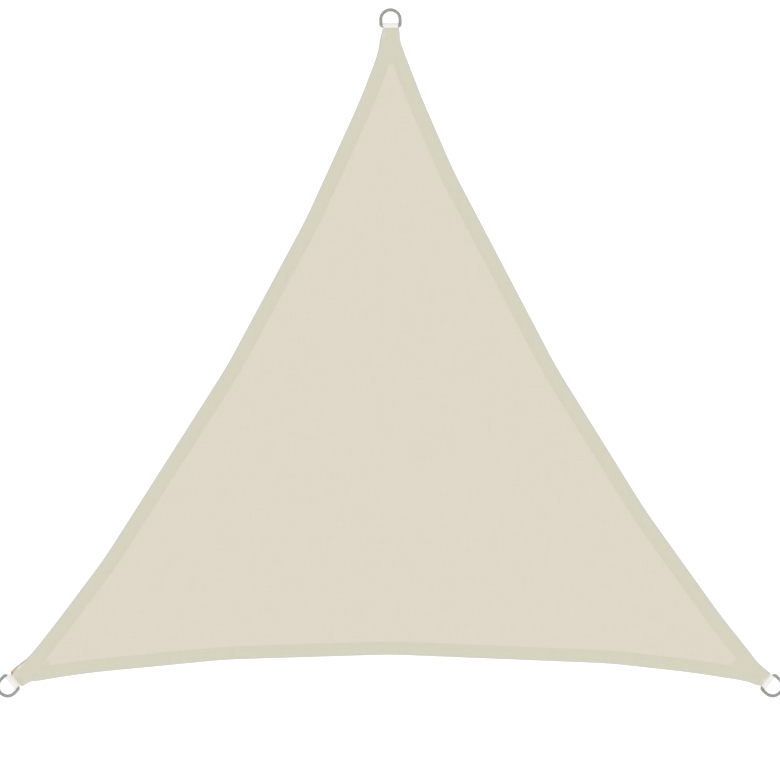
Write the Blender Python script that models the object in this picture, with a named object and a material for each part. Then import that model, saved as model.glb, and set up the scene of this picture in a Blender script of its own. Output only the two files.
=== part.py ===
"""Triangular shade sail, laid out flat and face up, in metres.

One hemmed sail cloth has three edges that curve inwards and a narrow neck at each corner. A strip of flat
webbing is folded round the bar of a steel D-ring, and both its ends are held inside the neck. +Z is up and +Y
points at the top corner. The origin is the middle of the three corners, on the surface that the cloth lies on.
"""

import math
from typing import NamedTuple

import bmesh
import bpy
from mathutils import Vector

MM = 0.001
GAP = 0.3 * MM  # between two pieces that touch on the real sail

# Sail cloth
PANEL_THICKNESS = 1.2 * MM
HEM_THICKNESS = 2.4 * MM
HEM_SLOPE = 8 * MM  # the hem comes down to the panel over this width
PANEL_TIP_DEPTH = 96 * MM  # from a neck's end to the panel's tip
RIM_RADIUS = 0.9 * MM
BEND_SOFTNESS = 45 * MM  # how far to each side a bend of an edge is rounded
BEND_STEPS = 4
PANEL_EDGE_STEPS = 40

# Webbing loops
WEBBING_WIDTH = 41 * MM  # round the bar
WEBBING_THICKNESS = 1.3 * MM
WEBBING_TAIL = 40 * MM  # inside the neck
WEBBING_TAIL_WIDTH = 38 * MM
WEBBING_MOUTH = 1 * MM  # how far past the neck's end the webbing's plies stay flat
WEBBING_FLARE = 4 * MM  # from there, how far out the webbing has its full width
WEBBING_BEND_SOFTNESS = 0.5 * MM
FOLD_RADIUS = 3.2 * MM  # at the middle of the webbing, where it turns back past the bar
WRAP_STEP = 18  # degrees, the most that the webbing turns at a corner of its line

# D-rings
WIRE_RADIUS = 4 * MM
RING_WIDTH = 59.5 * MM
RING_HEIGHT = 51.5 * MM
RING_CORNER_RADIUS = 4.6 * MM  # at the middle of the wire
RING_ARC_STEPS = 24
RING_CORNER_STEPS = 4
WIRE_SIDES_SETTING = 4  # gives 12 sides

# The neck is two layers of cloth with the two plies of webbing between them.
POCKET_FLOOR = PANEL_THICKNESS
POCKET_HEIGHT = 2 * WEBBING_THICKNESS + 3 * GAP
NECK_THICKNESS = POCKET_FLOOR + POCKET_HEIGHT + PANEL_THICKNESS
NECK_FLAT_DEPTH = WEBBING_TAIL + 4 * MM
NECK_SLOPE_DEPTH = NECK_FLAT_DEPTH + 22 * MM

# The webbing's faces stay a gap away from the wire, so its corners lie a little further out.
CORNER_REACH = 1 / math.cos(math.radians(WRAP_STEP / 2))
WRAP_RADIUS = (WIRE_RADIUS + GAP + WEBBING_THICKNESS / 2) * CORNER_REACH
BAR_HEIGHT = (WIRE_RADIUS + GAP + WEBBING_THICKNESS) * CORNER_REACH
FOLD_HEIGHT = (FOLD_RADIUS + WEBBING_THICKNESS / 2) * CORNER_REACH


class Corner(NamedTuple):
    """Where a corner's neck ends, and how its ring sits in front of it."""

    name: str
    x: float  # the middle of the neck's end
    y: float
    heading: float  # degrees from +X, the way the neck and its ring point
    end_width: float
    bar_reach: float  # from the neck's end to the middle of the ring's bar
    fold_reach: float  # from the neck's end to the far side of the webbing
    ring_shift: float  # of the ring and the webbing round it, to the left of the heading
    ring_turn: float  # degrees, of the ring in its loop, anticlockwise from the heading


class Bend(NamedTuple):
    """A place where a sail edge changes direction."""

    share: float  # of the straight line between the edge's two ends
    inset: float  # inwards from that line


class Edge(NamedTuple):
    """One sail edge, with the cloth on its left."""

    start: Corner
    end: Corner
    hem_width: float
    bends: tuple


# The sides are 2 m long from neck to neck, within a few millimetres.
TOP = Corner(
    "top",
    x=-1 * MM,
    y=1156 * MM,
    heading=90,
    end_width=43 * MM,
    bar_reach=6.1 * MM,
    fold_reach=14.5 * MM,
    ring_shift=1.2 * MM,
    ring_turn=0,
)
LEFT = Corner(
    "left",
    x=-999 * MM,
    y=-576.5 * MM,
    heading=220.5,
    end_width=44 * MM,
    bar_reach=10.6 * MM,
    fold_reach=18.5 * MM,
    ring_shift=-1.9 * MM,
    ring_turn=4.5,
)
RIGHT = Corner(
    "right",
    x=996 * MM,
    y=-577 * MM,
    heading=320,
    end_width=42 * MM,
    bar_reach=7.7 * MM,
    fold_reach=15.5 * MM,
    ring_shift=0.3 * MM,
    ring_turn=-4.5,
)
CORNERS = (TOP, LEFT, RIGHT)

LEFT_EDGE = Edge(
    TOP,
    LEFT,
    hem_width=38 * MM,
    bends=(
        Bend(share=0.005, inset=2.0 * MM),
        Bend(share=0.016, inset=9.0 * MM),
        Bend(share=0.036, inset=23.0 * MM),
        Bend(share=0.101, inset=43.0 * MM),
        Bend(share=0.273, inset=76.0 * MM),
        Bend(share=0.498, inset=89.5 * MM),
        Bend(share=0.803, inset=63.0 * MM),
        Bend(share=0.905, inset=39.0 * MM),
        Bend(share=0.968, inset=21.0 * MM),
        Bend(share=0.986, inset=6.0 * MM),
        Bend(share=0.997, inset=-2.0 * MM),
    ),
)
BOTTOM_EDGE = Edge(
    LEFT,
    RIGHT,
    hem_width=34 * MM,
    bends=(
        Bend(share=0.003, inset=-0.5 * MM),
        Bend(share=0.011, inset=10.5 * MM),
        Bend(share=0.023, inset=12.5 * MM),
        Bend(share=0.052, inset=22.5 * MM),
        Bend(share=0.097, inset=35.0 * MM),
        Bend(share=0.276, inset=69.0 * MM),
        Bend(share=0.500, inset=82.5 * MM),
        Bend(share=0.798, inset=58.5 * MM),
        Bend(share=0.909, inset=34.0 * MM),
        Bend(share=0.982, inset=11.5 * MM),
        Bend(share=0.994, inset=1.0 * MM),
    ),
)
RIGHT_EDGE = Edge(
    RIGHT,
    TOP,
    hem_width=38.5 * MM,
    bends=(
        Bend(share=0.003, inset=1.5 * MM),
        Bend(share=0.021, inset=14.5 * MM),
        Bend(share=0.047, inset=21.0 * MM),
        Bend(share=0.099, inset=37.0 * MM),
        Bend(share=0.275, inset=71.5 * MM),
        Bend(share=0.501, inset=86.5 * MM),
        Bend(share=0.798, inset=63.0 * MM),
        Bend(share=0.903, inset=39.5 * MM),
        Bend(share=0.968, inset=19.5 * MM),
        Bend(share=0.985, inset=13.5 * MM),
        Bend(share=0.994, inset=4.0 * MM),
    ),
)
EDGES = (LEFT_EDGE, BOTTOM_EDGE, RIGHT_EDGE)


def clear_scene():
    """Removes every object that the scene holds."""
    for obj in list(bpy.data.objects):
        bpy.data.objects.remove(obj, do_unlink=True)


def srgb(hex_colour):
    """An RRGGBB colour as linear red, green, blue and alpha."""
    channels = [int(hex_colour[i : i + 2], 16) / 255 for i in (0, 2, 4)]
    linear = [c / 12.92 if c <= 0.04045 else ((c + 0.055) / 1.055) ** 2.4 for c in channels]
    return (*linear, 1.0)


def finish(name, hex_colour, roughness, metallic=0.0):
    """A Principled material of one colour."""
    material = bpy.data.materials.new(name)
    material.use_nodes = True
    shader = material.node_tree.nodes["Principled BSDF"]
    shader.inputs["Base Color"].default_value = srgb(hex_colour)
    shader.inputs["Roughness"].default_value = roughness
    shader.inputs["Metallic"].default_value = metallic
    return material


def add_object(name, data, material=None):
    """Links a new object to the scene."""
    obj = bpy.data.objects.new(name, data)
    bpy.context.scene.collection.objects.link(obj)
    if material is not None:
        data.materials.append(material)
    return obj


def mesh_from(bm, name):
    """Ends a bmesh as a mesh whose faces point out."""
    bmesh.ops.recalc_face_normals(bm, faces=bm.faces)
    mesh = bpy.data.meshes.new(name)
    bm.to_mesh(mesh)
    bm.free()
    return mesh


def unit(degrees):
    """The unit vector at an angle from +X."""
    return Vector((math.cos(math.radians(degrees)), math.sin(math.radians(degrees))))


def left_of(direction):
    """The vector a quarter turn to the left of another."""
    return Vector((-direction.y, direction.x))


def neck_middle(corner):
    """The middle of a neck's end."""
    return Vector((corner.x, corner.y))


def depth_behind(corner, point):
    """How far a point lies behind a neck's end."""
    return (neck_middle(corner) - point).dot(unit(corner.heading))


def softened(points, reach, steps):
    """The line through the points with each bend rounded, over at most reach to each side."""
    line = [points[0]]
    for before, bend, after in zip(points, points[1:], points[2:]):
        to_before, to_after = before - bend, after - bend
        enter = bend + to_before.normalized() * min(reach, 0.45 * to_before.length)
        leave = bend + to_after.normalized() * min(reach, 0.45 * to_after.length)
        for step in range(steps + 1):
            t = step / steps
            line.append(enter * (1 - t) ** 2 + bend * 2 * t * (1 - t) + leave * t**2)
    line.append(points[-1])
    return line


def edge_line(edge):
    """The line of a sail edge from its start's neck end to its end's."""
    first = neck_middle(edge.start) + left_of(unit(edge.start.heading)) * edge.start.end_width / 2
    last = neck_middle(edge.end) - left_of(unit(edge.end.heading)) * edge.end.end_width / 2
    inwards = left_of((last - first).normalized())
    bends = [first.lerp(last, bend.share) + inwards * bend.inset for bend in edge.bends]
    return softened([first, *bends, last], BEND_SOFTNESS, BEND_STEPS)


def shifted(line, distance):
    """A line moved to its left by a distance."""
    moved = []
    for i, point in enumerate(line):
        along = line[min(i + 1, len(line) - 1)] - line[max(i - 1, 0)]
        moved.append(point + left_of(along.normalized()) * distance)
    return moved


def behind_corner(line, corner, depth):
    """The part of a line, given from a corner outwards, that lies deeper than depth."""
    for i, (here, there) in enumerate(zip(line, line[1:])):
        near, far = depth_behind(corner, here), depth_behind(corner, there)
        if near < depth <= far:
            return [here.lerp(there, (depth - near) / (far - near)), *line[i + 1 :]]
    return line


def evenly(line, steps):
    """Points at equal distances along a line, without its last one."""
    lengths = [(there - here).length for here, there in zip(line, line[1:])]
    spacing = sum(lengths) / steps
    points, run, i = [], 0.0, 0
    for step in range(steps):
        while i < len(lengths) - 1 and run + lengths[i] < step * spacing:
            run += lengths[i]
            i += 1
        points.append(line[i].lerp(line[i + 1], (step * spacing - run) / lengths[i]))
    return points


def panel_loop(overlap):
    """The closed outline inside the hems, cut straight across behind each corner, or a little wider."""
    tip_depth = PANEL_TIP_DEPTH - overlap
    loop = []
    for edge in EDGES:
        line = shifted(edge_line(edge), edge.hem_width - overlap)
        line = behind_corner(line, edge.start, tip_depth)
        line = behind_corner(line[::-1], edge.end, tip_depth)[::-1]
        ends_apart = evenly(line, PANEL_EDGE_STEPS)
        loop += [*ends_apart, line[-1]]
    return loop


def cloth_height(point):
    """The height of the cloth's upper face, which rises from the hem to the neck."""
    depth = min(depth_behind(corner, point) for corner in CORNERS)
    share = (NECK_SLOPE_DEPTH - depth) / (NECK_SLOPE_DEPTH - NECK_FLAT_DEPTH)
    return HEM_THICKNESS + (NECK_THICKNESS - HEM_THICKNESS) * min(max(share, 0.0), 1.0)


def cloth_blank():
    """The whole outline at the hem's thickness, with raised necks and a rounded rim."""
    bm = bmesh.new()
    outline = [point for edge in EDGES for point in edge_line(edge)]
    base = bm.faces.new([bm.verts.new(point.to_3d()) for point in outline])
    raised = bmesh.ops.extrude_face_region(bm, geom=[base])["geom"]
    upper = [item for item in raised if isinstance(item, bmesh.types.BMVert)]
    bmesh.ops.translate(bm, verts=upper, vec=(0, 0, HEM_THICKNESS))
    for corner in CORNERS:
        for depth in (NECK_FLAT_DEPTH, NECK_SLOPE_DEPTH):
            across = neck_middle(corner) - unit(corner.heading) * depth
            bmesh.ops.bisect_plane(
                bm,
                geom=[*bm.verts, *bm.edges, *bm.faces],
                dist=2 * MM,  # a corner of the outline this near takes the place of a cut
                plane_co=across.to_3d(),
                plane_no=unit(corner.heading).to_3d(),
            )
    for vert in bm.verts:
        if vert.co.z > HEM_THICKNESS / 2:
            vert.co.z = cloth_height(vert.co.to_2d())
    bmesh.ops.recalc_face_normals(bm, faces=bm.faces)
    walls = [face for face in bm.faces if abs(face.normal.z) < 0.5]
    rim = {edge for face in walls for edge in face.edges if not is_upright(edge)}
    rim |= {edge for edge in bm.edges if is_upright(edge) and edge.calc_face_angle() > math.radians(60)}
    bmesh.ops.bevel(
        bm, geom=list(rim), offset=RIM_RADIUS, segments=2, profile=0.5, affect="EDGES", material=-1
    )
    return mesh_from(bm, "sail_cloth")


def is_upright(edge):
    """Whether a mesh edge stands on end."""
    low, high = edge.verts
    return (low.co.to_2d() - high.co.to_2d()).length < 0.1 * MM


def panel_recess():
    """What the hem stands above the panel by, as a solid with sloping sides."""
    overshoot = 1.25  # of the slope, so that the solid comes out above the hem
    low = panel_loop(overlap=0)
    high = panel_loop(overlap=overshoot * HEM_SLOPE)
    top = PANEL_THICKNESS + overshoot * (HEM_THICKNESS - PANEL_THICKNESS)
    bm = bmesh.new()
    caps = [
        bm.faces.new([bm.verts.new((point.x, point.y, z)) for point in loop])
        for loop, z in ((low, PANEL_THICKNESS), (high, top))
    ]
    bmesh.ops.bridge_loops(bm, edges=[edge for cap in caps for edge in cap.edges])
    return add_cutter("panel_recess", mesh_from(bm, "panel_recess"))


def pocket(corner):
    """The space inside a neck that the webbing's two ends fill."""
    mouth = 5 * MM  # past the neck's end
    size = Vector((WEBBING_TAIL + GAP + mouth, WEBBING_TAIL_WIDTH + 2 * GAP, POCKET_HEIGHT))
    centre = Vector((mouth - size.x / 2, 0, POCKET_FLOOR + size.z / 2))
    bm = bmesh.new()
    bmesh.ops.create_cube(bm, size=1)
    bmesh.ops.scale(bm, verts=bm.verts, vec=size)
    bmesh.ops.translate(bm, verts=bm.verts, vec=centre)
    cutter = add_cutter("pocket_" + corner.name, mesh_from(bm, "pocket_" + corner.name))
    cutter.location = neck_middle(corner).to_3d()
    cutter.rotation_euler.z = math.radians(corner.heading)
    return cutter


def add_cutter(name, mesh):
    """An object that only shapes another."""
    cutter = add_object(name, mesh)
    cutter.hide_render = True
    cutter.display_type = "WIRE"
    return cutter


def add_sail_cloth():
    """The cloth with its hems: a thin panel, thicker hems and an open pocket in each neck."""
    cloth = add_object("sail_cloth", cloth_blank(), finish("woven_sail_cloth", "DFD8C8", roughness=0.85))
    for cutter in (panel_recess(), *[pocket(corner) for corner in CORNERS]):
        cut = cloth.modifiers.new(cutter.name, "BOOLEAN")
        cut.operation = "DIFFERENCE"
        cut.object = cutter


def touching(middle, radius, next_middle, next_radius):
    """The unit vector from two circles' middles to the line that touches both on its left."""
    ahead = next_middle - middle
    lean = (radius - next_radius) / ahead.length
    ahead.normalize()
    return ahead * lean - left_of(ahead) * math.sqrt(1 - lean * lean)


def line_round(circles):
    """The line that runs from the first circle to the last one, with the others on its left."""
    outs = [touching(*here, *there) for here, there in zip(circles, circles[1:])]
    line = []
    for (middle, radius), enter, leave in zip(circles[1:-1], outs, outs[1:]):
        start = math.degrees(math.atan2(enter.y, enter.x))
        turn = (math.degrees(math.atan2(leave.y, leave.x)) - start) % 360
        line += arc(middle, radius, start, start + turn, math.ceil(turn / WRAP_STEP))
    return line


def webbing_line(corner):
    """The webbing seen from its side, as (outwards, up): in, round the bar with some slack, and back."""
    swing = WEBBING_WIDTH / 2 * abs(math.sin(math.radians(corner.ring_turn)))
    near_bar = (Vector((corner.bar_reach - swing, BAR_HEIGHT)), WRAP_RADIUS)
    far_bar = (Vector((corner.bar_reach + swing, BAR_HEIGHT)), WRAP_RADIUS)
    fold_middle = corner.fold_reach - WEBBING_THICKNESS / 2 - FOLD_RADIUS
    fold = (Vector((fold_middle, FOLD_HEIGHT)), FOLD_RADIUS * CORNER_REACH)
    plies = [POCKET_FLOOR + GAP + WEBBING_THICKNESS / 2]
    plies.append(plies[0] + WEBBING_THICKNESS + GAP)
    mouths = [Vector((WEBBING_MOUTH, ply)) for ply in plies]
    over = [far_bar, near_bar] if swing else [near_bar]
    loop = line_round([(mouths[0], 0), near_bar, fold, *over, (mouths[1], 0)])
    lower = softened(
        [Vector((-WEBBING_TAIL, plies[0])), mouths[0], loop[0]], WEBBING_BEND_SOFTNESS, BEND_STEPS
    )
    upper = softened(
        [loop[-1], mouths[1], Vector((-WEBBING_TAIL, plies[1]))], WEBBING_BEND_SOFTNESS, BEND_STEPS
    )
    return [*lower, *loop[1:-1], *upper]


def webbing_side(corner, outwards, side):
    """Where a point of the webbing lies across the neck, which gathers it. Side is -0.5 to 0.5."""
    share = min(max((outwards - WEBBING_MOUTH) / WEBBING_FLARE, 0.0), 1.0)
    width = WEBBING_TAIL_WIDTH + (WEBBING_WIDTH - WEBBING_TAIL_WIDTH) * share
    return side * width + corner.ring_shift * share


def add_webbing_loop(corner, material):
    """A strip of webbing folded round the ring's bar, with both ends in the neck."""
    bm = bmesh.new()
    verts = [bm.verts.new((point.x, -0.5, point.y)) for point in webbing_line(corner)]
    line = [bm.edges.new(pair) for pair in zip(verts, verts[1:])]
    strip = bmesh.ops.extrude_edge_only(bm, edges=line)["geom"]
    far_side = [item for item in strip if isinstance(item, bmesh.types.BMVert)]
    bmesh.ops.translate(bm, verts=far_side, vec=(0, 1, 0))
    for vert in bm.verts:
        vert.co.y = webbing_side(corner, vert.co.x, vert.co.y)
    for face in bm.faces:
        face.smooth = True
    for edge in bm.edges:
        edge.smooth = not edge.is_boundary
    loop = add_object(
        "webbing_loop_" + corner.name, mesh_from(bm, "webbing_loop_" + corner.name), material
    )
    loop.location = neck_middle(corner).to_3d()
    loop.rotation_euler.z = math.radians(corner.heading)
    thickness = loop.modifiers.new("Thickness", "SOLIDIFY")
    thickness.thickness = WEBBING_THICKNESS
    thickness.offset = 0
    thickness.use_even_offset = True


def arc(centre, radius, start, end, steps):
    """Points along an arc, from its start angle to its end angle in degrees."""
    return [centre + unit(start + (end - start) * i / steps) * radius for i in range(steps + 1)]


def ring_line():
    """The middle line of a D-ring's wire, with the bar on the Y axis and the bow towards +X."""
    bow_radius = RING_WIDTH / 2 - WIRE_RADIUS
    bow_middle = RING_HEIGHT - 2 * WIRE_RADIUS - bow_radius
    foot = bow_radius - RING_CORNER_RADIUS
    return [
        *arc(Vector((bow_middle, 0)), bow_radius, -90, 90, RING_ARC_STEPS),
        *arc(Vector((RING_CORNER_RADIUS, foot)), RING_CORNER_RADIUS, 90, 180, RING_CORNER_STEPS),
        *arc(Vector((RING_CORNER_RADIUS, -foot)), RING_CORNER_RADIUS, 180, 270, RING_CORNER_STEPS),
    ]


def add_d_ring(corner, material):
    """A D-ring of round wire, whose bar lies in the webbing and whose bow rests on the surface."""
    curve = bpy.data.curves.new("d_ring_" + corner.name, "CURVE")
    curve.dimensions = "3D"
    curve.bevel_depth = WIRE_RADIUS
    curve.bevel_resolution = WIRE_SIDES_SETTING
    line = ring_line()
    spline = curve.splines.new("POLY")
    spline.points.add(len(line) - 1)
    for spot, point in zip(spline.points, line):
        spot.co = (point.x, point.y, 0, 1)
    spline.use_cyclic_u = True
    spline.use_smooth = True
    ring = add_object("d_ring_" + corner.name, curve, material)
    heading = unit(corner.heading)
    place = neck_middle(corner) + heading * corner.bar_reach + left_of(heading) * corner.ring_shift
    ring.location = (place.x, place.y, BAR_HEIGHT)
    tilt = math.asin((BAR_HEIGHT - WIRE_RADIUS) / (RING_HEIGHT - 2 * WIRE_RADIUS))
    ring.rotation_euler = (0, tilt, math.radians(corner.heading + corner.ring_turn))


def main():
    """Builds the sail: the cloth, then a webbing loop and a D-ring at each corner."""
    clear_scene()
    webbing = finish("polyester_webbing", "F4EFF0", roughness=0.8)
    steel = finish("galvanised_steel", "8A8A88", roughness=0.45, metallic=1.0)
    add_sail_cloth()
    for corner in CORNERS:
        add_webbing_loop(corner, webbing)
        add_d_ring(corner, steel)


main()
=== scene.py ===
"""Shade sail, laid out face up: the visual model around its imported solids.

A sail of woven polyester has three hemmed edges that curve inwards and a narrow neck at each corner. A strip of
webbing is folded round the bar of a steel D-ring, and its two ends are sewn into the neck. Sizes are in metres, in
the solids' own frame: +Z is up and +Y points at the top corner. The sail lies on the floor at Z = 0.
"""

import logging
import math
import sys
from dataclasses import dataclass
from enum import Enum

import bmesh
import bpy
import numpy as np
from bmesh.types import BMEdge, BMesh, BMFace, BMVert
from bpy.types import Material, Mesh, Node, NodeSocket, NodeTree, Object
from mathutils import Matrix, Vector
from mathutils.geometry import delaunay_2d_cdt

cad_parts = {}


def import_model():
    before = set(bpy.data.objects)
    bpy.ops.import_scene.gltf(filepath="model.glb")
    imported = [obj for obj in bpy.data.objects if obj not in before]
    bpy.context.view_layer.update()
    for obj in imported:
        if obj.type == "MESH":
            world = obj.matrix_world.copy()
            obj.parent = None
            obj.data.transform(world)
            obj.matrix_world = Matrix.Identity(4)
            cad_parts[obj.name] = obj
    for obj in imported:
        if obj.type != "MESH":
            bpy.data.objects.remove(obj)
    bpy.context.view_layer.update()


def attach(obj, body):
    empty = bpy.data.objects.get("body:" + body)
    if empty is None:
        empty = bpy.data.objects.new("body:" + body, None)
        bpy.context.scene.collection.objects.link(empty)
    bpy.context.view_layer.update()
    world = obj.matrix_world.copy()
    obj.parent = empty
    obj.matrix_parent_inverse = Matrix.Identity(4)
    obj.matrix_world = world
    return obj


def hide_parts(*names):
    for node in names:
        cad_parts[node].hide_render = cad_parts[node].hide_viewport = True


MM = 0.001
SHARP_ANGLE = math.radians(50)
TINY = 1e-12
WHITE = (1, 1, 1, 1)

# What delaunay_2d_cdt is asked for: triangles inside the outline, with points merged at this distance.
FILL_INSIDE = 1
FILL_MERGE = 1e-6

LOG = logging.getLogger("shade_sail")

Pair = tuple[float, float]
Triple = tuple[float, float, float]


# --- The sail's plan -------------------------------------------------------------------------------------------


@dataclass(frozen=True)
class Corner:
    """Where a corner's neck ends, and how its ring sits in front of it.

    Headings are in degrees from +X. The bar's reach and the webbing's are from the neck's end. The ring's shift,
    with the webbing round it, is to the left of the heading, and its turn in the webbing's loop is in degrees.
    """

    name: str
    x: float
    y: float
    heading: float
    end_width: float
    bar_reach: float
    fold_reach: float
    ring_shift: float
    ring_turn: float

    def middle(self) -> np.ndarray:
        """The middle of the neck's end."""
        return np.array((self.x, self.y))

    def outwards(self) -> np.ndarray:
        """The unit vector out of the neck, along its heading."""
        angle = math.radians(self.heading)
        return np.array((math.cos(angle), math.sin(angle)))

    def leftwards(self) -> np.ndarray:
        """The unit vector across the neck, to the left of its heading."""
        forward = self.outwards()
        return np.array((-forward[1], forward[0]))

    def placed(self) -> Matrix:
        """The transform that puts a piece made along +X from the origin in front of the neck."""
        return Matrix.Translation((self.x, self.y, 0)) @ Matrix.Rotation(math.radians(self.heading), 4, "Z")

    def depth(self, points: np.ndarray) -> np.ndarray:
        """How far each of some plan points, one a row, lies behind the neck's end."""
        return (self.middle() - points) @ self.outwards()

    def offset(self, points: np.ndarray) -> np.ndarray:
        """How far each of some plan points lies to the left of the neck's middle line, or below 0 to its right."""
        return (points - self.middle()) @ self.leftwards()


@dataclass(frozen=True)
class Bend:
    """A place where a sail edge changes direction: a share of its chord, and an inset from it."""

    share: float
    inset: float


@dataclass(frozen=True)
class Edge:
    """One sail edge, with the cloth on its left."""

    start: Corner
    end: Corner
    hem_width: float
    bends: tuple[Bend, ...]


TOP = Corner(
    "top",
    x=-1 * MM,
    y=1156 * MM,
    heading=90,
    end_width=43 * MM,
    bar_reach=6.1 * MM,
    fold_reach=14.5 * MM,
    ring_shift=1.2 * MM,
    ring_turn=0,
)
LEFT = Corner(
    "left",
    x=-999 * MM,
    y=-576.5 * MM,
    heading=220.5,
    end_width=44 * MM,
    bar_reach=10.6 * MM,
    fold_reach=18.5 * MM,
    ring_shift=-1.9 * MM,
    ring_turn=4.5,
)
RIGHT = Corner(
    "right",
    x=996 * MM,
    y=-577 * MM,
    heading=320,
    end_width=42 * MM,
    bar_reach=7.7 * MM,
    fold_reach=15.5 * MM,
    ring_shift=0.3 * MM,
    ring_turn=-4.5,
)

LEFT_EDGE = Edge(
    TOP,
    LEFT,
    hem_width=38 * MM,
    bends=(
        Bend(share=0.005, inset=2.0 * MM),
        Bend(share=0.016, inset=9.0 * MM),
        Bend(share=0.036, inset=23.0 * MM),
        Bend(share=0.101, inset=43.0 * MM),
        Bend(share=0.273, inset=76.0 * MM),
        Bend(share=0.498, inset=89.5 * MM),
        Bend(share=0.803, inset=63.0 * MM),
        Bend(share=0.905, inset=39.0 * MM),
        Bend(share=0.968, inset=21.0 * MM),
        Bend(share=0.986, inset=6.0 * MM),
        Bend(share=0.997, inset=-2.0 * MM),
    ),
)
BOTTOM_EDGE = Edge(
    LEFT,
    RIGHT,
    hem_width=34 * MM,
    bends=(
        Bend(share=0.003, inset=-0.5 * MM),
        Bend(share=0.011, inset=10.5 * MM),
        Bend(share=0.023, inset=12.5 * MM),
        Bend(share=0.052, inset=22.5 * MM),
        Bend(share=0.097, inset=35.0 * MM),
        Bend(share=0.276, inset=69.0 * MM),
        Bend(share=0.500, inset=82.5 * MM),
        Bend(share=0.798, inset=58.5 * MM),
        Bend(share=0.909, inset=34.0 * MM),
        Bend(share=0.982, inset=11.5 * MM),
        Bend(share=0.994, inset=1.0 * MM),
    ),
)
RIGHT_EDGE = Edge(
    RIGHT,
    TOP,
    hem_width=38.5 * MM,
    bends=(
        Bend(share=0.003, inset=1.5 * MM),
        Bend(share=0.021, inset=14.5 * MM),
        Bend(share=0.047, inset=21.0 * MM),
        Bend(share=0.099, inset=37.0 * MM),
        Bend(share=0.275, inset=71.5 * MM),
        Bend(share=0.501, inset=86.5 * MM),
        Bend(share=0.798, inset=63.0 * MM),
        Bend(share=0.903, inset=39.5 * MM),
        Bend(share=0.968, inset=19.5 * MM),
        Bend(share=0.985, inset=13.5 * MM),
        Bend(share=0.994, inset=4.0 * MM),
    ),
)


def smooth_step(values: np.ndarray, low: float, high: float) -> np.ndarray:
    """Goes softly from 0 at low to 1 at high. Low may be above high, for a result that falls."""
    share = np.clip((values - low) / (high - low), 0, 1)
    return share * share * (3 - 2 * share)


def bump_of(values: np.ndarray, centre: float, width: float) -> np.ndarray:
    """A bell that is 1 at its centre and nearly 0 two widths away."""
    return np.exp(-(((values - centre) / width) ** 2))


@dataclass(frozen=True)
class EdgeReading:
    """For each point: how far the nearest sail edge is, how far along that edge, and which edge.

    Past the hem is how far the point lies inside the inner edge of the nearest hem, and below 0 on a hem.
    """

    distance: np.ndarray
    run: np.ndarray
    edge: np.ndarray
    past_hem: np.ndarray


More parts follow.
